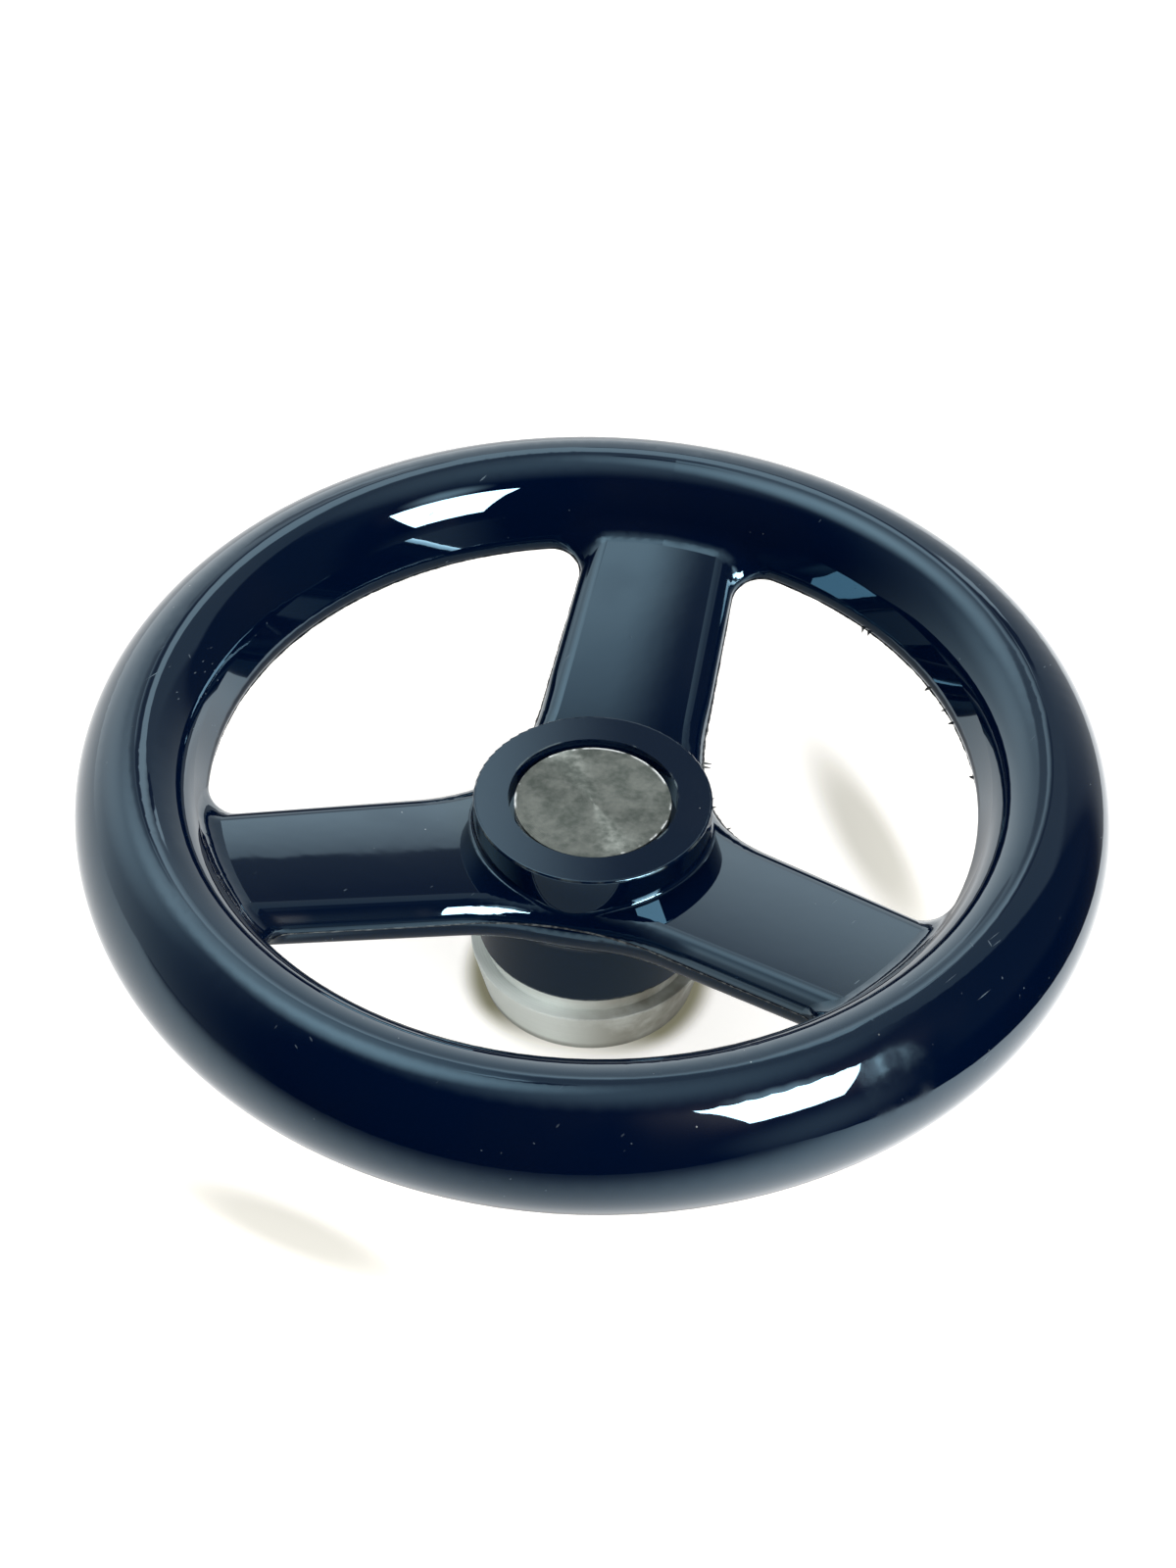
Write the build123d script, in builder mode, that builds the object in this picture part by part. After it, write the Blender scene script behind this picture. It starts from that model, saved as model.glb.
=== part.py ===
from build123d import *
import os
from math import cos, hypot, radians, sin, sqrt, tan

# Three-arm machine handwheel: one black phenolic moulding, with its rim, three flat arms and
# hub, moulded round a turned steel insert. The insert's flange is the foot that seats on the
# machine, and its blind bore takes the shaft.
# Millimetres. +Z is the wheel's axis, up. The origin is the centre of the flange's foot, on
# which the wheel stands. One arm points along +Y.

# ---- rim: an upright oval, drawn out inwards to a rounded ridge where the mould parts, and
# cut away below that ridge
wheel_diameter = 200.0
rim_width = 24.7
rim_height = 31.1
rim_plane_height = 50.0
ridge_projection = 1.7
ridge_radius = 4.0
rim_underside_angle = 50.0
rim_heel_radius = 5.0

# ---- arms: flat bars that rise from the hub to the rim, with well-rounded edges and a rounded
# valley between each two
arm_count = 3
arm_width_at_hub = 34.4
arm_width_at_rim = 31.6
arm_thickness = 9.8
arm_height_at_hub = 37.6
arm_drop_at_rim = 1.35
arm_edge_radius = 4.4
arm_root_radius = 6.0
valley_radius = 40.0
window_hub_radius = 40.0

# ---- hub of the moulding: a low ring above the arms and a drafted boss below them
hub_ring_diameter = 46.7
hub_ring_top = 49.05
hub_ring_edge_radius = 0.5
hub_ring_root_radius = 0.8
boss_foot_diameter = 45.0
boss_foot_height = 14.3
boss_foot_radius = 1.5
boss_root_radius = 3.0

# ---- recess in the ring's top face, with the insert's end in it and a narrow gap all round that
recess_diameter = 33.1
recess_depth = 1.2
recess_gap_depth = 1.5

# ---- steel insert: flange, neck, and a core with grooves and flats that lock it in the moulding
core_diameter = 30.6
neck_diameter = 42.0
flange_diameter = 47.8
flange_foot_diameter = 42.4
flange_height = 10.9
flange_edge_radius = 0.3
groove_depth = 1.5
groove_width = 3.0
groove_heights = (22.0, 36.0)
flat_count = 2
flat_depth = 1.2
flat_height = 26.0
flat_length = 6.0

# ---- bore for the shaft, blind, entered through the foot
bore_diameter = 18.0
bore_depth = 36.0
bore_chamfer = 1.0
drill_point_angle = 118.0

# ---- sizes that follow from those above
rim_centre = (wheel_diameter - rim_width) / 2
apex_radius = wheel_diameter / 2 - rim_width - ridge_projection
hub_ring_radius = hub_ring_diameter / 2
core_radius = core_diameter / 2
bore_radius = bore_diameter / 2
core_top = hub_ring_top - recess_depth
arm_slope = (rim_plane_height - arm_drop_at_rim - arm_height_at_hub) / (apex_radius - hub_ring_radius)
arm_reach = apex_radius + rim_width / 3
half_pitch = 180 / arm_count
# An arm's direction, in the plan of a window that opens towards +X.
along, across = cos(radians(half_pitch)), sin(radians(half_pitch))


def arm_height(distance):
    """Height of the middle of an arm at a distance along it from the axis."""
    return arm_height_at_hub + arm_slope * (distance - hub_ring_radius)


def arm_edge_point(distance):
    """Point on an arm's edge, on the window's side, in the plan of that window."""
    taper = (arm_width_at_rim - arm_width_at_hub) / (apex_radius - hub_ring_radius)
    half_width = (arm_width_at_hub + taper * (distance - hub_ring_radius)) / 2
    return (distance * along + half_width * across, distance * across - half_width * along)


def underside_point(drop):
    """Point of the rim's section on its sloping underside, so far below the ridge."""
    run = drop * tan(radians(rim_underside_angle))
    return (apex_radius + run, rim_plane_height - drop)


def plan_radius(edge):
    """Distance of the middle of an edge from the wheel's axis."""
    middle = edge @ 0.5
    return hypot(middle.X, middle.Y)


# ---------------------------------------------------------------- insert
# A steel bar turned to its flange, neck and core.
with BuildPart() as hub_insert:
    with BuildSketch(Plane.XZ):
        with BuildLine():
            Polyline(
                (0, 0),
                (flange_foot_diameter / 2, 0),
                (flange_diameter / 2, flange_height),
                (neck_diameter / 2, flange_height),
                (neck_diameter / 2, boss_foot_height),
                (core_radius, boss_foot_height),
                (core_radius, core_top),
                (0, core_top),
                close=True,
            )
        make_face()
        with Locations(*[(core_radius, height) for height in groove_heights]):
            Rectangle(2 * groove_depth, groove_width, mode=Mode.SUBTRACT)
    revolve(axis=Axis.Z)
    flange_rim = hub_insert.edges().filter_by(GeomType.CIRCLE).sort_by(SortBy.RADIUS)[-1]
    fillet(flange_rim, flange_edge_radius)
    # Flats stop the insert turning in the moulding.
    with BuildSketch(Plane.XY.offset(flat_height)):
        with PolarLocations(core_radius, flat_count):
            Rectangle(2 * flat_depth, core_diameter)
    extrude(amount=flat_length, mode=Mode.SUBTRACT)
    insert_form = hub_insert.part
    # The bore is drilled blind and reamed.
    with BuildSketch(Plane.XZ):
        with BuildLine():
            Polyline(
                (0, 0),
                (bore_radius + bore_chamfer, 0),
                (bore_radius, bore_chamfer),
                (bore_radius, bore_depth),
                (0, bore_depth + bore_radius / tan(radians(drill_point_angle / 2))),
                close=True,
            )
        make_face()
    revolve(axis=Axis.Z, mode=Mode.SUBTRACT)
hub_insert.part.label = "hub_insert"

# ---------------------------------------------------------------- moulding
# One window's share of the web: half an arm on each side of it, and the valley where they meet.
# The window opens towards +X.
with BuildPart() as web_share:
    with BuildSketch(Plane.YZ) as web_section:
        middle, side = arm_height(0), arm_height(arm_reach * across)
        Polygon(
            (-arm_reach, side + arm_thickness / 2),
            (0, middle + arm_thickness / 2),
            (arm_reach, side + arm_thickness / 2),
            (arm_reach, side - arm_thickness / 2),
            (0, middle - arm_thickness / 2),
            (-arm_reach, side - arm_thickness / 2),
            align=None,
        )
        fillet(web_section.vertices().filter_by_position(Axis.X, 0, 0), valley_radius)
    extrude(amount=arm_reach, dir=(1, 0, arm_slope * along), both=True)
    # The window's corner at the hub is large and round.
    inside, outside = arm_edge_point(0), arm_edge_point(2 * wheel_diameter)
    corner = inside[0] - inside[1] * (outside[0] - inside[0]) / (outside[1] - inside[1])
    with BuildSketch() as window_plan:
        Polygon((corner, 0), outside, (outside[0], -outside[1]), align=None)
        fillet(window_plan.vertices().sort_by(Axis.X)[0], window_hub_radius)
    extrude(amount=wheel_diameter, mode=Mode.SUBTRACT)
    # Its edges are rounded top and bottom, from one arm's end round the hub to the other's.
    window_edges = [
        edge
        for edge in web_share.edges(Select.LAST).filter_by(Axis.Z, reverse=True)
        if plan_radius(edge) < apex_radius
    ]
    fillet(window_edges, arm_edge_radius)
    with BuildSketch():
        arm_end = (arm_reach * along, arm_reach * across)
        Polygon((0, 0), arm_end, (arm_reach / along, 0), (arm_end[0], -arm_end[1]), align=None)
    extrude(amount=wheel_diameter, mode=Mode.INTERSECT)

# Rim, arms and hub come out of the mould in one piece, already round the insert.
with BuildPart() as wheel_moulding:
    with PolarLocations(0, arm_count, start_angle=90 + half_pitch):
        add(web_share.part)

    # The rim's seam lies along +Y, inside an arm.
    with BuildSketch(Plane.YZ) as rim_section:
        with Locations((rim_centre, rim_plane_height)):
            Ellipse(rim_width / 2, rim_height / 2)
        # A straight flank joins the ridge to the oval, which it touches.
        share = rim_width / 2 / (rim_centre - apex_radius)
        flank_radius = rim_centre - rim_width / 2 * share
        flank_height = rim_plane_height + rim_height / 2 * sqrt(1 - share**2)
        Polygon(
            underside_point(0),
            (flank_radius, flank_height),
            (rim_centre, rim_plane_height),
            underside_point(rim_height / 4),
            align=None,
        )
        Polygon(
            underside_point(0),
            underside_point(rim_height),
            (0, rim_plane_height - rim_height),
            (0, rim_plane_height),
            align=None,
            mode=Mode.SUBTRACT,
        )
        fillet(rim_section.vertices().sort_by(Axis.Y)[0], rim_heel_radius)
        fillet(rim_section.vertices().sort_by(Axis.X)[0], ridge_radius)
    revolve(axis=Axis.Z)
    # Where each arm runs into the rim, a fillet goes all round it.
    root_edges = [
        edge
        for edge in wheel_moulding.edges()
        if apex_radius < plan_radius(edge) < arm_reach
        and (edge @ 0.5).Z < rim_plane_height + arm_thickness / 2
        and edge.length < arm_width_at_rim
        and edge.geom_type != GeomType.LINE
    ]
    fillet(root_edges, arm_root_radius)

    # Ring and boss of the hub.
    with BuildSketch(Plane.YZ):
        with BuildLine():
            Polyline(
                (0, boss_foot_height),
                (boss_foot_diameter / 2, boss_foot_height),
                (hub_ring_radius, arm_height_at_hub),
                (hub_ring_radius, hub_ring_top),
                (0, hub_ring_top),
                close=True,
            )
        make_face()
    revolve(axis=Axis.Z)
    boss_edges = [
        edge
        for edge in wheel_moulding.edges()
        if edge.geom_type != GeomType.LINE
        and boss_foot_diameter / 2 < plan_radius(edge) < hub_ring_radius
        and boss_foot_height < (edge @ 0.5).Z < arm_height_at_hub
    ]
    fillet(boss_edges, boss_root_radius)
    foot_edge, ring_edge = [
        wheel_moulding.edges().filter_by(GeomType.CIRCLE).filter_by_position(
            Axis.Z, height, height
        ).sort_by(SortBy.RADIUS)[-1]
        for height in (boss_foot_height, hub_ring_top)
    ]
    fillet(foot_edge, boss_foot_radius)
    fillet(ring_edge, hub_ring_edge_radius)
    # Its wall meets the arms and the valleys in a small fillet.
    walls = wheel_moulding.faces().filter_by(GeomType.CYLINDER)
    ring_wall = walls.sort_by(lambda wall: abs(wall.radius - hub_ring_radius))[0]
    ring_roots = ring_wall.edges().filter_by(GeomType.LINE, reverse=True)
    fillet(ring_roots.filter_by(GeomType.CIRCLE, reverse=True), hub_ring_root_radius)

    # The recess, and the place of the insert, which the moulding fits all over.
    with BuildSketch(Plane.XY.offset(hub_ring_top)):
        Circle(recess_diameter / 2)
    extrude(amount=-recess_depth - recess_gap_depth, mode=Mode.SUBTRACT)
    add(insert_form, mode=Mode.SUBTRACT)
wheel_moulding.part.label = "wheel_moulding"

os.makedirs("parts", exist_ok=True)
export_step(hub_insert.part, "parts/hub_insert.step")
export_step(wheel_moulding.part, "parts/wheel_moulding.step")
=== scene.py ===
import math
import random

import bpy
from mathutils import Matrix, Quaternion, Vector


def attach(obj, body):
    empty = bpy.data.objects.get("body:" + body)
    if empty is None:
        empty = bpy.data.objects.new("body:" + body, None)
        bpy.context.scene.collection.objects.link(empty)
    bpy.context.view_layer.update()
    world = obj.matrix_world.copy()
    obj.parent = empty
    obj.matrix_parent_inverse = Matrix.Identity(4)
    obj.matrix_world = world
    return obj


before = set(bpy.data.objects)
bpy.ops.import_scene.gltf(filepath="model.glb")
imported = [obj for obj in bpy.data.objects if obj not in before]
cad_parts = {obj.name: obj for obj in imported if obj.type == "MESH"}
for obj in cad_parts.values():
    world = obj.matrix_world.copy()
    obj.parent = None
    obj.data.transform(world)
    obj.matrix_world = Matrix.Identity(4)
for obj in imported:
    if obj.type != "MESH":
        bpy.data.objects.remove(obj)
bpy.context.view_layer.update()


# ---------------------------------------------------------------- moulding
# Rim, three arms and hub in one piece, compression moulded in black phenolic and polished. Its
# gloss is rubbed by handling, scratched and specked with dust. The ring's edges are worn lighter,
# and the arms' edges lean a little towards the hub, where their flash was filed off.
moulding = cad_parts["wheel_moulding"]
ring_radius = 0.02335
ring_top = 0.04905
recess_radius = 0.01655
# centre and radius of the parts of the rim that hands touch the most, and of the one gone dull
handled_places = (((0.080, -0.050, 0.063), 0.020), ((-0.079, 0.000, 0.061), 0.014))
dull_place = ((0.0705, -0.0700, 0.059), 0.0105)
# distances from the axis, and upward parts of the normal, at which the filing on the arms' edges
# starts, is whole, fades and ends
filed_stretch = (0.036, 0.043, 0.0700, 0.0735)
filed_slopes = (0.30, 0.45, 0.80, 0.90)
filed_lean = 0.17
# turn of each kind of mark, size of the cells that hold one mark each, and its reach in a cell
long_scratches = ((0.2, 0.3, -0.5), (0.0026, 0.022, 0.0035), 0.07)
short_scratches = ((0.1, 0.5, 0.7), (0.0030, 0.018, 0.0030), 0.06)
close_scratches = ((0, 0, -0.56), (0.0012, 0.022, 0.0012), 0.12)
dust_specks = ((0.4, 0.9, 0.2), (0.0042, 0.0050, 0.0040), 0.045)
polish_waviness = 0.0000025
scratch_depth = 0.6 * polish_waviness
polish_roughness, ring_roughness, filed_roughness = (0.012, 0.08), 0.04, 0.12
dull_roughness, scratch_roughness = 0.24, 0.35
phenolic_black = (0.0003, 0.0030, 0.014, 1)
reflection_tint = (0.47, 0.80, 1.0, 1)
scratch_grey = (0.07, 0.09, 0.11, 1)
worn_grey = (0.05, 0.06, 0.06, 1)
dust_grey = (0.22, 0.24, 0.24, 1)


def feed(tree, socket, value):
    """Link an input socket to an output, or give it a constant."""
    if isinstance(value, bpy.types.NodeSocket):
        tree.links.new(value, socket)
    else:
        socket.default_value = value


def maths(tree, operation, *values):
    node = tree.nodes.new("ShaderNodeMath")
    node.operation = operation
    for socket, value in zip(node.inputs, values):
        feed(tree, socket, value)
    return node.outputs[0]


def vector_maths(tree, operation, *vectors):
    node = tree.nodes.new("ShaderNodeVectorMath")
    node.operation = operation
    for socket, vector in zip(node.inputs, vectors):
        feed(tree, socket, vector)
    measures = ("LENGTH", "DISTANCE", "DOT_PRODUCT")
    return node.outputs["Value" if operation in measures else "Vector"]


def product(tree, *factors):
    result = factors[0]
    for factor in factors[1:]:
        result = maths(tree, "MULTIPLY", result, factor)
    return result


def largest(tree, *values):
    result = values[0]
    for value in values[1:]:
        result = maths(tree, "MAXIMUM", result, value)
    return result


def ramp(tree, source, start, end, low=0.0, high=1.0, shape="SMOOTHSTEP"):
    """Value that goes from low to high while the source goes from start to end."""
    node = tree.nodes.new("ShaderNodeMapRange")
    node.interpolation_type = shape
    tree.links.new(source, node.inputs["Value"])
    for name, value in (("From Min", start), ("From Max", end), ("To Min", low), ("To Max", high)):
        feed(tree, node.inputs[name], value)
    return node.outputs["Result"]


def between(tree, source, start, whole, fading, end):
    """Mask that rises from start to whole and falls from fading to end."""
    return product(tree, ramp(tree, source, start, whole), ramp(tree, source, fading, end, 1, 0))


def mixed(tree, kind, first, mask, second):
    """The first where the mask is 0 and the second where it is 1. The kind is RGBA or FLOAT."""
    node = tree.nodes.new("ShaderNodeMix")
    node.data_type = kind
    for name, value in (("Factor", mask), ("A", first), ("B", second)):
        feed(tree, node.inputs[name], value)
    return node.outputs["Result"]


def components(tree, vector):
    """Outputs X, Y and Z of a vector."""
    node = tree.nodes.new("ShaderNodeSeparateXYZ")
    tree.links.new(vector, node.inputs[0])
    return node.outputs


def in_plan(tree, point):
    """A point's place seen along the wheel's axis, with no height."""
    return vector_maths(tree, "MULTIPLY", point, (1, 1, 0))


def near(tree, point, centre, radius):
    """Round mask about a centre, whole up to 0.6 of its radius."""
    return ramp(tree, vector_maths(tree, "DISTANCE", point, centre), radius * 0.6, radius, 1, 0)


def built_clouds():
    """Group that puts out cloudy noise, and patches from low to high where it passes a range."""
    group = bpy.data.node_groups.new("clouds", "ShaderNodeTree")
    group.interface.new_socket(name="Point", in_out="INPUT", socket_type="NodeSocketVector")
    for name, usual in (("Scale", 100), ("Detail", 3), ("Start", 0), ("End", 1), ("Low", 0), ("High", 1)):
        socket = group.interface.new_socket(name=name, in_out="INPUT", socket_type="NodeSocketFloat")
        socket.default_value = usual
    for name in ("Noise", "Patches"):
        group.interface.new_socket(name=name, in_out="OUTPUT", socket_type="NodeSocketFloat")
    given = group.nodes.new("NodeGroupInput").outputs
    result = group.nodes.new("NodeGroupOutput").inputs
    noise = group.nodes.new("ShaderNodeTexNoise")
    for name, source in (("Vector", "Point"), ("Scale", "Scale"), ("Detail", "Detail")):
        group.links.new(given[source], noise.inputs[name])
    cloudy = noise.outputs["Fac"]
    patchy = ramp(group, cloudy, given["Start"], given["End"], given["Low"], given["High"])
    group.links.new(cloudy, result["Noise"])
    group.links.new(patchy, result["Patches"])
    return group


clouds_group = built_clouds()


def clouds(tree, point, **values):
    """The group placed in a material with its own values. Its scale is in waves to the metre."""
    node = tree.nodes.new("ShaderNodeGroup")
    node.node_tree = clouds_group
    tree.links.new(point, node.inputs["Point"])
    for name, value in values.items():
        node.inputs[name].default_value = value
    return node.outputs


def stretched(tree, point, centre, turn, size):
    """A point's place as measured from a centre, along turned axes with units of their own."""
    node = tree.nodes.new("ShaderNodeMapping")
    node.vector_type = "TEXTURE"
    for name, value in (("Vector", point), ("Location", centre), ("Rotation", turn), ("Scale", size)):
        feed(tree, node.inputs[name], value)
    return node.outputs[0]


def strokes(tree, point, turn, size, reach):
    """Short fine marks, one in each cell of a stretched and turned pattern."""
    cells = tree.nodes.new("ShaderNodeTexVoronoi")
    tree.links.new(stretched(tree, point, (0, 0, 0), turn, size), cells.inputs["Vector"])
    cells.inputs["Scale"].default_value = 1
    return ramp(tree, cells.outputs["Distance"], reach * 0.5, reach, 1, 0)


def bumped(tree, height, distance, normal=None):
    """Normal of a surface that rises by a distance where its height is 1."""
    bump = tree.nodes.new("ShaderNodeBump")
    bump.inputs["Distance"].default_value = distance
    tree.links.new(height, bump.inputs["Height"])
    if normal is not None:
        tree.links.new(normal, bump.inputs["Normal"])
    return bump.outputs[0]


def new_material(name):
    material = bpy.data.materials.new(name)
    material.use_nodes = True
    return material


def set_shader(tree, values):
    shader = tree.nodes["Principled BSDF"]
    for name, value in values.items():
        feed(tree, shader.inputs[name], value)


def worn_edges(tree, point, height, radius):
    """Outer edge of the hub's ring and mouth of its recess, worn in patches."""
    outer_edge = product(
        tree,
        ramp(tree, radius, ring_radius - 0.00045, ring_radius - 0.0001),
        ramp(tree, radius, ring_radius + 0.0001, ring_radius + 0.00035, 1, 0),
        ramp(tree, height, ring_top - 0.00065, ring_top - 0.00025),
    )
    mouth = product(
        tree,
        ramp(tree, radius, recess_radius - 0.0001, recess_radius + 0.00005),
        ramp(tree, radius, recess_radius + 0.0002, recess_radius + 0.00045, 1, 0),
        ramp(tree, height, ring_top - 0.00025, ring_top - 0.00005),
    )
    patches = clouds(tree, point, Scale=160, Start=0.50, End=0.66)["Patches"]
    return product(tree, largest(tree, outer_edge, mouth), patches)


def scratched(tree, point):
    """Fine scratches in patches, and more of them where hands touch the rim."""
    handled = largest(tree, *(near(tree, point, *place) for place in handled_places))
    patches = clouds(tree, point, Scale=34, Start=0.47, End=0.60)["Patches"]
    everywhere = largest(
        tree,
        strokes(tree, point, *long_scratches),
        strokes(tree, point, *short_scratches),
    )
    return largest(
        tree,
        product(tree, everywhere, largest(tree, patches, handled)),
        product(tree, handled, strokes(tree, point, *close_scratches)),
    )


def black_phenolic():
    material = new_material("black_phenolic")
    tree = material.node_tree
    coordinates = tree.nodes.new("ShaderNodeTexCoord").outputs
    point, normal = coordinates["Object"], coordinates["Normal"]
    height = components(tree, point)["Z"]
    upwards = components(tree, normal)["Z"]
    radius = vector_maths(tree, "LENGTH", in_plan(tree, point))

    worn = worn_edges(tree, point, height, radius)
    scratches = scratched(tree, point)
    dust = product(
        tree,
        strokes(tree, point, *dust_specks),
        clouds(tree, point, Scale=55, Start=0.58, End=0.64)["Patches"],
    )
    ring_face = product(
        tree,
        ramp(tree, radius, ring_radius + 0.00025, ring_radius + 0.00085, 1, 0),
        ramp(tree, height, ring_top - 0.00025, ring_top - 0.0001),
    )
    dull = product(
        tree,
        near(tree, point, *dull_place),
        clouds(tree, point, Scale=220, Detail=4, Start=0.30, End=0.70, Low=0.5)["Patches"],
    )
    filed = product(
        tree,
        between(tree, radius, *filed_stretch),
        between(tree, upwards, *filed_slopes),
    )

    colour = mixed(tree, "RGBA", phenolic_black, scratches, scratch_grey)
    colour = mixed(tree, "RGBA", colour, worn, worn_grey)
    colour = mixed(tree, "RGBA", colour, dust, dust_grey)
    smoothest, roughest = polish_roughness
    roughness = largest(
        tree,
        clouds(tree, point, Scale=26, Start=0.50, End=0.78, Low=smoothest, High=roughest)["Patches"],
        product(tree, ring_face, ring_roughness),
        product(tree, filed, filed_roughness),
        product(tree, dull, dull_roughness),
        product(tree, largest(tree, scratches, worn), scratch_roughness),
    )
    outwards = vector_maths(tree, "NORMALIZE", in_plan(tree, point))
    lean = vector_maths(tree, "MULTIPLY", outwards, product(tree, filed, -filed_lean))
    leaning = vector_maths(tree, "NORMALIZE", vector_maths(tree, "ADD", normal, lean))
    waves = clouds(tree, point, Scale=120, Detail=2)["Noise"]
    relief = maths(tree, "ADD", waves, product(tree, scratches, -scratch_depth / polish_waviness))
    set_shader(tree, {
        "Base Color": colour,
        "Roughness": roughness,
        "Normal": bumped(tree, relief, polish_waviness, leaning),
        "IOR": 1.68,
        "Specular Tint": reflection_tint,
        "Coat Weight": clouds(tree, point, Scale=28, Start=0.45, End=0.70, High=0.05)["Patches"],
        "Coat Roughness": 0.32,
    })
    return material


moulding.data.materials.clear()
moulding.data.materials.append(black_phenolic())

# ---------------------------------------------------------------- mould flash
# The thin ragged fin that the mould's joint left round each window, filed down but not away. It
# is phenolic too, one with the moulding, and stands out from its edge by half a millimetre, with
# a few torn hairs on the right.
fin_thickness = 0.00016
fin_reach = 0.00045
fin_root = 0.0006
fin_steps = 640
circle_radius = 0.02
# at each step the reach goes a part of the way to a random share of fin_reach
reach_shares = (0.2, 1.0)
part_of_the_way = 0.35
# azimuth of each hair in degrees, and its length
hairs = {36.0: 0.0016, 37.2: 0.0012, 52.6: 0.0009, 58.0: 0.0007, 61.1: 0.0008, 73.4: 0.0008}
hair_half_width = 0.18
window_azimuths = (60, 180, 300)
window_middle = 0.050
window_reach = 0.055
# the mould's joint climbs along the arms, from the hub's ring to the middle of the rim
joint_at_hub, joint_slope, joint_at_rim = 0.0376, 0.221, 0.0500
# height at which the joint is first looked for round a window's middle, and its climb outwards
first_height, first_climb = 0.0478, 0.0092
height_corrections = 6
tear_depth = 0.00005
torn_black = (0.004, 0.007, 0.012, 1)
torn_grey = (0.09, 0.10, 0.10, 1)


def window_edge(middle, away):
    """Point where a level ray from a window's middle meets its edge, at the joint's height."""
    height = known = min(first_height + first_climb * away.dot(middle.normalized()), joint_at_rim)
    for correction in range(height_corrections):
        origin = Vector((middle.x, middle.y, height))
        found, place = moulding.ray_cast(origin, away, distance=window_reach)[:2]
        if found:
            edge, known = place, height
            along_arm = max(math.hypot(edge.x, edge.y) - ring_radius, 0)
            height = (height + min(joint_at_hub + joint_slope * along_arm, joint_at_rim)) / 2
        else:
            height = (height + known) / 2
    return Vector((edge.x, edge.y, height))


def fin_round(azimuth):
    """Flat ribbon round a window, from inside the moulding to the fin's ragged tip."""
    turn = math.radians(azimuth)
    middle = Vector((math.sin(turn) * window_middle, math.cos(turn) * window_middle, 0))
    bpy.ops.object.select_all(action="DESELECT")
    bpy.ops.mesh.primitive_circle_add(vertices=fin_steps, radius=circle_radius, location=(0, 0, 0))
    fin = bpy.context.object
    bpy.ops.object.mode_set(mode="EDIT")
    bpy.ops.mesh.select_all(action="SELECT")
    bpy.ops.mesh.extrude_region_move(TRANSFORM_OT_translate={"value": (0, 0, 0)})
    bpy.ops.object.mode_set(mode="OBJECT")
    # the two vertices of each step, by their direction in thousandths of a radian
    steps = {}
    for vertex in fin.data.vertices:
        steps.setdefault(round(math.atan2(vertex.co.x, vertex.co.y) * 1000), []).append(vertex)
    reach = fin_reach
    for step in sorted(steps):
        root, tip = steps[step]
        away = Vector((root.co.x, root.co.y, 0)).normalized()
        edge = window_edge(middle, away)
        reach += (random.uniform(*reach_shares) * fin_reach - reach) * part_of_the_way
        edge_azimuth = math.degrees(math.atan2(edge.x, edge.y))
        hairs_here = [hairs[at] for at in hairs if abs(edge_azimuth - at) < hair_half_width]
        root.co = edge + away * fin_root
        tip.co = edge - away * (reach + max(hairs_here, default=0))
    return fin


def torn_phenolic():
    material = new_material("torn_phenolic")
    tree = material.node_tree
    point = tree.nodes.new("ShaderNodeTexCoord").outputs["Object"]
    specks = clouds(tree, point, Scale=900, Start=0.45, End=0.62)["Patches"]
    set_shader(tree, {
        "Base Color": mixed(tree, "RGBA", torn_black, specks, torn_grey),
        "Roughness": 0.38,
        "IOR": 1.6,
        "Normal": bumped(tree, clouds(tree, point, Scale=2500)["Noise"], tear_depth),
    })
    return material


random.seed(7)
fins = [fin_round(azimuth) for azimuth in window_azimuths]
bpy.ops.object.select_all(action="DESELECT")
for fin in fins:
    fin.select_set(True)
bpy.context.view_layer.objects.active = fins[0]
bpy.ops.object.join()
flash = bpy.context.object
flash.name = "mould_flash"
solid = flash.modifiers.new("thickness", "SOLIDIFY")
solid.thickness = fin_thickness
solid.offset = 0
bpy.ops.object.modifier_apply(modifier="thickness")
bpy.ops.object.mode_set(mode="EDIT")
bpy.ops.mesh.select_all(action="SELECT")
bpy.ops.mesh.normals_make_consistent(inside=False)
bpy.ops.object.mode_set(mode="OBJECT")
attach(flash, "root")
flash.data.materials.append(torn_phenolic())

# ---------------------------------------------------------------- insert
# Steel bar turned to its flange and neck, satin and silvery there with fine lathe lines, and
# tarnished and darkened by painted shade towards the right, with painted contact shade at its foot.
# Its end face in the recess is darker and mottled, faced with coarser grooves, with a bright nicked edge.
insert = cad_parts["hub_insert"]
# where the end face, its edge, the painted shade at the foot and the tarnish with its painted
# shade each start and end
end_face_heights = (0.0465, 0.0475)
end_edge_radii = (0.0147, 0.0152)
painted_foot_shade_heights = (0.0004, 0.0022)
tarnish_and_shade_x = (-0.006, 0.014)
lathe_lines_per_metre = 5200
lathe_line_depth = 0.00004
side_line_share = 0.4
side_metallic, end_face_metallic = 0.05, 0.55
smoothest_steel, roughest_steel = 0.36, 0.52
steel_silver = (0.92, 0.99, 0.95, 1)
line_grey = (0.70, 0.76, 0.73, 1)
# tarnish that is also a painted shade of the flange's right side
tarnish_and_shade_grey = (0.29, 0.285, 0.235, 1)
# colour of the painted contact shade at the flange's foot
painted_foot_shade_grey = (0.20, 0.20, 0.16, 1)
end_face_dark = (0.055, 0.07, 0.062, 1)
end_face_light = (0.17, 0.19, 0.175, 1)
nick_bright = (0.75, 0.80, 0.80, 1)


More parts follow.
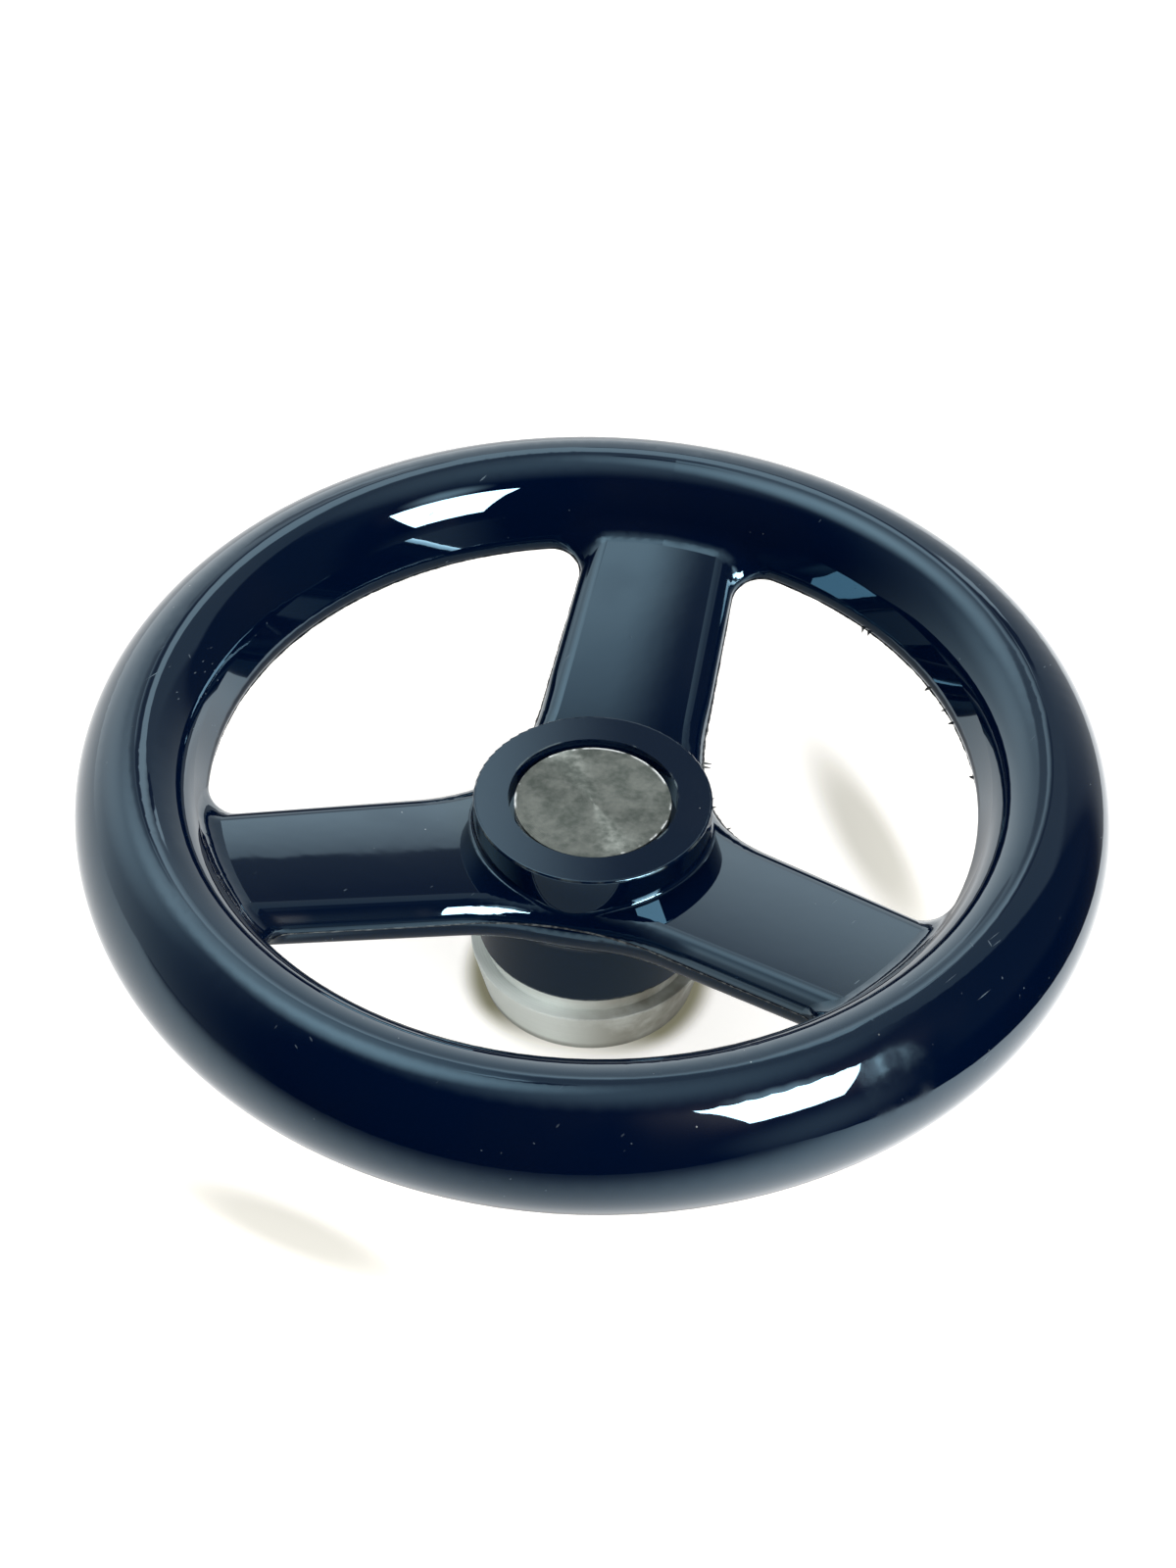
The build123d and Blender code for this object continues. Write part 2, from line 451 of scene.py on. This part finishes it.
def turned_steel():
    material = new_material("turned_steel")
    tree = material.node_tree
    point = tree.nodes.new("ShaderNodeTexCoord").outputs["Object"]
    place = components(tree, point)
    radius = vector_maths(tree, "LENGTH", in_plan(tree, point))
    round_axis = tree.nodes.new("ShaderNodeTangent")
    round_axis.direction_type = "RADIAL"
    round_axis.axis = "Z"
    # the tool's path runs out along the faces and up the sides, so one length serves both
    noise = tree.nodes.new("ShaderNodeTexNoise")
    noise.noise_dimensions = "1D"
    noise.inputs["Scale"].default_value = lathe_lines_per_metre
    tree.links.new(maths(tree, "ADD", radius, place["Z"]), noise.inputs["W"])
    lines = noise.outputs["Fac"]

    end_face = ramp(tree, place["Z"], *end_face_heights)
    end_edge = product(tree, end_face, ramp(tree, radius, *end_edge_radii))
    nicks = product(tree, end_edge, clouds(tree, point, Scale=220, Start=0.50, End=0.60)["Patches"])
    mottling = maths(
        tree,
        "ADD",
        clouds(tree, point, Scale=260, Detail=8, Start=0.34, End=0.66, High=0.7)["Patches"],
        clouds(tree, point, Scale=900, Detail=4, Start=0.36, End=0.68, High=0.3)["Patches"],
    )
    # tarnish in patches towards the right, which also paints the shade that falls on that side
    tarnish_and_shade = product(
        tree,
        ramp(tree, place["X"], *tarnish_and_shade_x),
        clouds(tree, point, Scale=130, Detail=5, Start=0.30, End=0.60, Low=0.55)["Patches"],
    )
    # painted contact shade along the flange's foot, darker towards the bottom
    painted_foot_shade = ramp(tree, place["Z"], *painted_foot_shade_heights, 0.6, 0)

    silver = mixed(tree, "RGBA", steel_silver, ramp(tree, lines, 0.40, 0.75, 0, 0.35), line_grey)
    silver = mixed(tree, "RGBA", silver, tarnish_and_shade, tarnish_and_shade_grey)
    silver = mixed(tree, "RGBA", silver, painted_foot_shade, painted_foot_shade_grey)
    mottled = mixed(tree, "RGBA", end_face_dark, mottling, end_face_light)
    colour = mixed(tree, "RGBA", silver, end_face, mottled)
    relief = product(tree, lines, ramp(tree, end_face, 0, 1, side_line_share, 1))
    set_shader(tree, {
        "Base Color": mixed(tree, "RGBA", colour, nicks, nick_bright),
        "Metallic": ramp(tree, end_face, 0, 1, side_metallic, end_face_metallic),
        "Roughness": ramp(tree, mottling, 0, 1, smoothest_steel, roughest_steel),
        "Normal": bumped(tree, relief, lathe_line_depth),
        "Anisotropic": 0.85,
        "Anisotropic Rotation": 0.25,
        "Tangent": round_axis.outputs[0],
    })
    return material


insert.data.materials.clear()
insert.data.materials.append(turned_steel())

# ---------------------------------------------------------------- floor
# A white paper sheet that ends a little in front of the wheel and to its right. The camera sees
# it burnt out to white with soft shade painted in, and a mirror finish sees its glow fade under the
# wheel, a painted shadow of the wheel, and towards its front edge.
sheet_left, sheet_right = -1.2, 0.168
sheet_front, sheet_back = -0.20, 1.4
# distances from the axis between which the shade at the flange's foot fades, and Y from which it
# is faint to which it is whole
foot_shade_radii = (0.0220, 0.0272)
foot_shade_y = (-0.024, -0.013)
foot_shade_depth, faint_share = 0.95, 0.3
# X and Y of the patches of shade below the rim, their turn, width and length, and their depth
shade_patches = (
    (0.0500, 0.0500, 0.53, 0.0085, 0.038, 0.52),
    (-0.0420, -0.0785, -1.86, 0.0075, 0.034, 0.46),
)
# parts of a patch's width and length between which it fades
shade_patch_fade = (0.30, 1.15)
# distances from the axis, Y and X between which the mirrored glow changes, and its shares there
# the low share under the wheel is a painted shadow of the wheel in the mirrored glow
glow_radii, glow_under_wheel = (0.066, 0.095), 0.22
glow_y, glow_at_front = (sheet_front, -0.09), 0.1
glow_x, glow_left, glow_right = (0.0, 0.10), 1.32, 1.85
burnt_out = 0.6
paper_white = (0.82, 0.79, 0.73, 1)
paper_shade = (0.19, 0.18, 0.11, 1)
burnt_white = (1, 1, 1, 1)
burnt_shade = (0.15, 0.145, 0.085, 1)


def floor_shade(tree, point, y, radius):
    """Soft shade at the flange's foot and in the patches below the rim."""
    shade = product(
        tree,
        ramp(tree, radius, *foot_shade_radii, foot_shade_depth, 0),
        ramp(tree, y, *foot_shade_y, faint_share, 1),
    )
    for patch_x, patch_y, turn, width, length, depth in shade_patches:
        in_patch = stretched(tree, point, (patch_x, patch_y, 0), (0, 0, turn), (width, length, 1))
        away = vector_maths(tree, "LENGTH", in_patch)
        shade = largest(tree, shade, ramp(tree, away, *shade_patch_fade, depth, 0))
    return shade


def white_paper():
    material = new_material("floor_white")
    tree = material.node_tree
    rays = tree.nodes.new("ShaderNodeLightPath").outputs
    point = tree.nodes.new("ShaderNodeNewGeometry").outputs["Position"]
    place = components(tree, point)
    radius = vector_maths(tree, "LENGTH", point)
    shade = floor_shade(tree, point, place["Y"], radius)
    set_shader(tree, {
        "Base Color": mixed(tree, "RGBA", paper_white, shade, paper_shade),
        "Emission Color": mixed(tree, "RGBA", burnt_white, shade, burnt_shade),
        "Emission Strength": product(tree, rays["Is Camera Ray"], burnt_out),
        "Roughness": 1.0,
        "Specular IOR Level": 0.0,
    })
    # glow seen in mirror finishes, painted darker under the wheel as its shadow, and fading to the front
    mirrored_glow = product(
        tree,
        ramp(tree, radius, *glow_radii, glow_under_wheel, 1),
        ramp(tree, place["Y"], *glow_y, glow_at_front, 1),
        ramp(tree, place["X"], *glow_x, glow_left, glow_right),
    )
    mirrored = tree.nodes.new("ShaderNodeEmission")
    tree.links.new(mirrored_glow, mirrored.inputs["Strength"])
    either = tree.nodes.new("ShaderNodeMixShader")
    in_mirror = largest(tree, rays["Is Glossy Ray"], rays["Is Transmission Ray"])
    tree.links.new(in_mirror, either.inputs["Fac"])
    tree.links.new(tree.nodes["Principled BSDF"].outputs[0], either.inputs[1])
    tree.links.new(mirrored.outputs[0], either.inputs[2])
    tree.links.new(either.outputs[0], tree.nodes["Material Output"].inputs["Surface"])
    return material


bpy.ops.object.select_all(action="DESELECT")
bpy.ops.mesh.primitive_plane_add(size=2, location=(0, 0, 0))
floor = bpy.context.object
floor.name = "floor"
for vertex in floor.data.vertices:
    vertex.co.x = sheet_right if vertex.co.x > 0 else sheet_left
    vertex.co.y = sheet_front if vertex.co.y < 0 else sheet_back
floor.data.materials.append(white_paper())

# ---------------------------------------------------------------- window
# A bright window behind the camera on the right, made of two lamps that have the same outline
# from the wheel. One lights it, and the other shows in mirror finishes alone. They stand at
# different distances, because two lamps in one place block each other.
window_width, window_height = 0.375, 0.66
window_place = Vector((0.65, -0.494, 0.477))
window_sill = Vector((-0.669, -0.741, 0.061)).normalized()
window_outward = window_sill.cross(Vector((0.698, -0.623, -0.353))).normalized()
wheel_middle = Vector((0, 0, 0.06))
light_scale, light_radiance = 2.4, 9.0
glare_scale, glare_radiance = 2.0, 37.0


def window_lamp(name, scale, radiance, mirrored_only):
    """The window as a lamp so many times as large and as far away."""
    light = bpy.data.lights.new(name, "AREA")
    light.shape = "RECTANGLE"
    light.size = window_width * scale
    light.size_y = window_height * scale
    light.energy = radiance * math.pi * light.size * light.size_y
    lamp = bpy.data.objects.new(name, light)
    lamp.location = window_place * scale + wheel_middle
    axes = Matrix((window_sill, window_outward.cross(window_sill), window_outward)).transposed()
    lamp.rotation_mode = "QUATERNION"
    lamp.rotation_quaternion = axes.to_quaternion()
    lamp.visible_camera = False
    lamp.visible_diffuse = not mirrored_only
    lamp.visible_glossy = mirrored_only
    bpy.context.collection.objects.link(lamp)


window_lamp("window_light", light_scale, light_radiance, False)
window_lamp("window_glare", glare_scale, glare_radiance, True)

# ---------------------------------------------------------------- room
# Pale walls far left, a bright pane in the sloping roof, a darker slope to the right of it and
# darkness beyond. What lies behind the camera is dark. The flat arms and the ring's top mirror a
# few degrees of it each, and those have their own edges and fading.

# azimuths from +Y towards +X, and elevations, at which each part starts, is whole, fades and ends,
# in degrees as all places in the room are
slope_span, slope_radiance = ((3.2, 4.4, 40, 46), (31, 38, 57, 66)), 0.43
pane_span, pane_radiance = ((-17, -13, 3.2, 4.2), (36, 41, 54, 57)), 2.5
beam_span, beam_radiance = ((-17, -13, 3, 5), (55, 58, 61, 67)), 0.45
dark_span, dark_radiance = ((40, 46, 90, 104), (-6, 6, 56, 66)), 0.05
# place of the round shade left of the pane, and angles from there at which it is whole and ends
shade_spot, shade_radiance = ((-22, 42), 4, 8), 0.6
# place, reach and radiance of the walls' light, and azimuths and shares of its two steps down
wall_glow = ((-30, -11), 101, 2.2)
wall_steps = ((-6, 9, 1, 0.66), (36, 46, 1, 0.2))
# place, reach and radiance of the other patches of light on the walls and the roof
other_glows = (
    ((-57, 70), 20, 2.6),
    ((-42, 53), 20, 1.9),
    ((17, 84), 36, 0.92),
    ((125, -6), 24, 0.45),
    ((-62, 32), 24, 0.75),
    ((119, 54), 10, 3.0),
)
# place of what each flat face mirrors, and angles from there at which it is whole and ends
seen_in_top_arm = ((-18, 66), 2.2, 3.2)
seen_in_left_arm = ((4, 34.6), 2.4, 3.4)
seen_in_right_arm = ((-20.5, 28.5), 2.8, 4.0)
seen_in_ring = ((-10.8, 44.2), 2.8, 3.8)
# directions across the edges that the arms mirror
across_top_arm = (0.988, -0.036, 0.151)
across_left_arm = (-0.472, 0.523, -0.709)
across_right_arm = (0.494, 0.567, -0.659)


def closeness(tree, direction, place):
    """Cosine of the angle between a direction and a place in the room."""
    turn, rise = math.radians(place[0]), math.radians(place[1])
    towards = Vector((math.sin(turn) * math.cos(rise), math.cos(turn) * math.cos(rise), math.sin(rise)))
    return vector_maths(tree, "DOT_PRODUCT", direction, towards)


def glow(tree, direction, place, reach, radiance):
    """Radiance that fades from a place to nothing, so many degrees away."""
    end = math.cos(math.radians(reach))
    share = ramp(tree, closeness(tree, direction, place), end, 1.0, shape="LINEAR")
    return product(tree, maths(tree, "POWER", share, 2.0), radiance)


def spot(tree, direction, place, whole, end):
    """Round mask about a place."""
    edges = (math.cos(math.radians(end)), math.cos(math.radians(whole)))
    return ramp(tree, closeness(tree, direction, place), *edges)


def four_sided(tree, azimuth, elevation, azimuths, elevations):
    """Mask with two upright and two level edges."""
    return product(tree, between(tree, azimuth, *azimuths), between(tree, elevation, *elevations))


def walls_and_roof(tree, direction, azimuth, elevation):
    """Radiance of the room, painted from the back to the front."""
    dimming = (ramp(tree, azimuth, *step) for step in wall_steps)
    room = product(tree, glow(tree, direction, *wall_glow), *dimming)
    for other_glow in other_glows:
        room = maths(tree, "ADD", room, glow(tree, direction, *other_glow))
    for mask, radiance in (
        (four_sided(tree, azimuth, elevation, *slope_span), slope_radiance),
        (four_sided(tree, azimuth, elevation, *pane_span), pane_radiance),
        (spot(tree, direction, *shade_spot), shade_radiance),
        (four_sided(tree, azimuth, elevation, *beam_span), beam_radiance),
        (four_sided(tree, azimuth, elevation, *dark_span), dark_radiance),
    ):
        room = mixed(tree, "FLOAT", room, mask, radiance)
    return room


def seen_in_flats(tree, direction, azimuth, elevation):
    """Masks of what the arms and the ring's top mirror, each with its radiance.

    On an arm the radiance changes with the sine of the angle across an edge.
    """
    across = vector_maths(tree, "DOT_PRODUCT", direction, across_top_arm)
    in_top_arm = product(
        tree,
        ramp(tree, across, -0.005, 0.014, 1.35, 0.12),
        ramp(tree, elevation, 64.8, 67.2, 1.9, 0.6, shape="LINEAR"),
    )
    across = vector_maths(tree, "DOT_PRODUCT", direction, across_left_arm)
    before_edge = ramp(tree, across, -0.007, 0.003, 0.12, 0.24, shape="LINEAR")
    beyond_edge = product(
        tree,
        ramp(tree, across, 0.0028, 0.0040),
        ramp(tree, across, 0.004, 0.0135, 0.95, 2.2, shape="LINEAR"),
    )
    in_left_arm = maths(tree, "ADD", before_edge, beyond_edge)
    across = vector_maths(tree, "DOT_PRODUCT", direction, across_right_arm)
    in_right_arm = ramp(tree, across, -0.010, 0.013, 0.8, 2.05, shape="LINEAR")
    in_ring = ramp(tree, azimuth, -13.5, -9.5, 1.8, 0.22)
    return (
        (spot(tree, direction, *seen_in_top_arm), in_top_arm),
        (spot(tree, direction, *seen_in_left_arm), in_left_arm),
        (spot(tree, direction, *seen_in_right_arm), in_right_arm),
        (spot(tree, direction, *seen_in_ring), in_ring),
    )


def studio_room():
    world = bpy.data.worlds.new("studio")
    world.use_nodes = True
    tree = world.node_tree
    direction = tree.nodes.new("ShaderNodeTexCoord").outputs["Generated"]
    along = components(tree, direction)
    azimuth = maths(tree, "DEGREES", maths(tree, "ARCTAN2", along["X"], along["Y"]))
    elevation = maths(tree, "DEGREES", maths(tree, "ARCSINE", along["Z"]))
    room = walls_and_roof(tree, direction, azimuth, elevation)
    for mask, radiance in seen_in_flats(tree, direction, azimuth, elevation):
        room = mixed(tree, "FLOAT", room, mask, radiance)
    # mirror finishes alone see the room, and plain white lights all else
    rays = tree.nodes.new("ShaderNodeLightPath").outputs
    for ray in ("Is Diffuse Ray", "Is Transmission Ray", "Is Camera Ray"):
        room = mixed(tree, "FLOAT", room, rays[ray], 1.0)
    background = tree.nodes["Background"]
    background.inputs["Color"].default_value = (1, 1, 1, 1)
    tree.links.new(room, background.inputs["Strength"])
    return world


bpy.context.scene.world = studio_room()

# ---------------------------------------------------------------- camera
# A camera held by hand in front of the wheel, above it and a little to the right. It is aimed at
# the hub from about 0.73 m away, and tipped sideways by a little over a degree.
camera_place = Vector((0.095533, -0.517970, 0.559333))
camera_target = Vector((-0.001506, 0.002470, 0.050))
camera_tip = math.radians(1.3238)
camera_data = bpy.data.cameras.new("camera")
camera_data.lens = 86.66
camera_data.sensor_width = 36
camera_data.clip_start = 0.01
camera_data.clip_end = 20
camera = bpy.data.objects.new("camera", camera_data)
camera.location = camera_place
camera.rotation_mode = "QUATERNION"
aimed = (camera_target - camera_place).to_track_quat("-Z", "Y")
camera.rotation_quaternion = aimed @ Quaternion((0, 0, 1), camera_tip)
bpy.context.collection.objects.link(camera)
bpy.context.scene.camera = camera
bpy.context.scene.view_settings.view_transform = "Standard"
